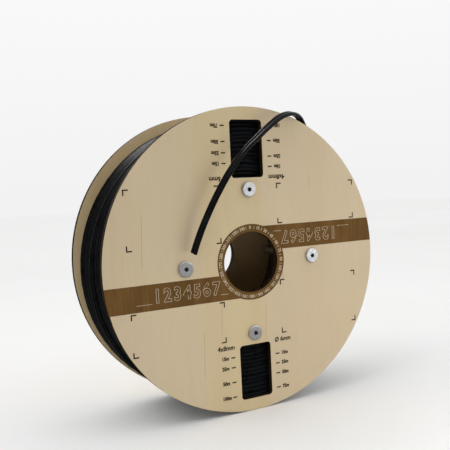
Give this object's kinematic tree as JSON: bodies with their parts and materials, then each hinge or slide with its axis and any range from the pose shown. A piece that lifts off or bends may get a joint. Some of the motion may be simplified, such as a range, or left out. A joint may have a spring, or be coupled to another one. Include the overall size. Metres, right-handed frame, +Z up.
{
  "type": "cable drum",
  "caption": "Plywood cable drum with round flanges, sight windows, a central axle bore and tie bolts, fully wound with black flat twin cable whose end hangs over the front rim.",
  "frame": {"origin": "on the standing plane, below the middle of the drum", "axes": "+Z up, the drum's axis along Y, with the scaled front flange towards -Y and +X to the right as that flange is seen"},
  "size_m": [0.3, 0.1235, 0.3],
  "materials": {
    "front_plywood": "raw birch plywood with laser-burnt edges and engraving",
    "back_plywood": "raw birch plywood with laser-burnt edges",
    "core_cardboard": "matt wound board",
    "cable_jacket": "smooth black PVC with a soft sheen",
    "zinc_steel": "bright zinc plated"
  },
  "bodies": {
    "root": {"front_flange": "front_plywood", "back_flange": "back_plywood", "core_tube": "core_cardboard", "cable_winding": "cable_jacket", "tie_bolt_top": "zinc_steel", "tie_bolt_right": "zinc_steel", "tie_bolt_bottom": "zinc_steel", "tie_bolt_left": "zinc_steel", "cap_nut_top": "zinc_steel", "cap_nut_right": "zinc_steel", "cap_nut_bottom": "zinc_steel", "cap_nut_left": "zinc_steel", "cable_tail": "cable_jacket"}
  },
  "joints": []
}
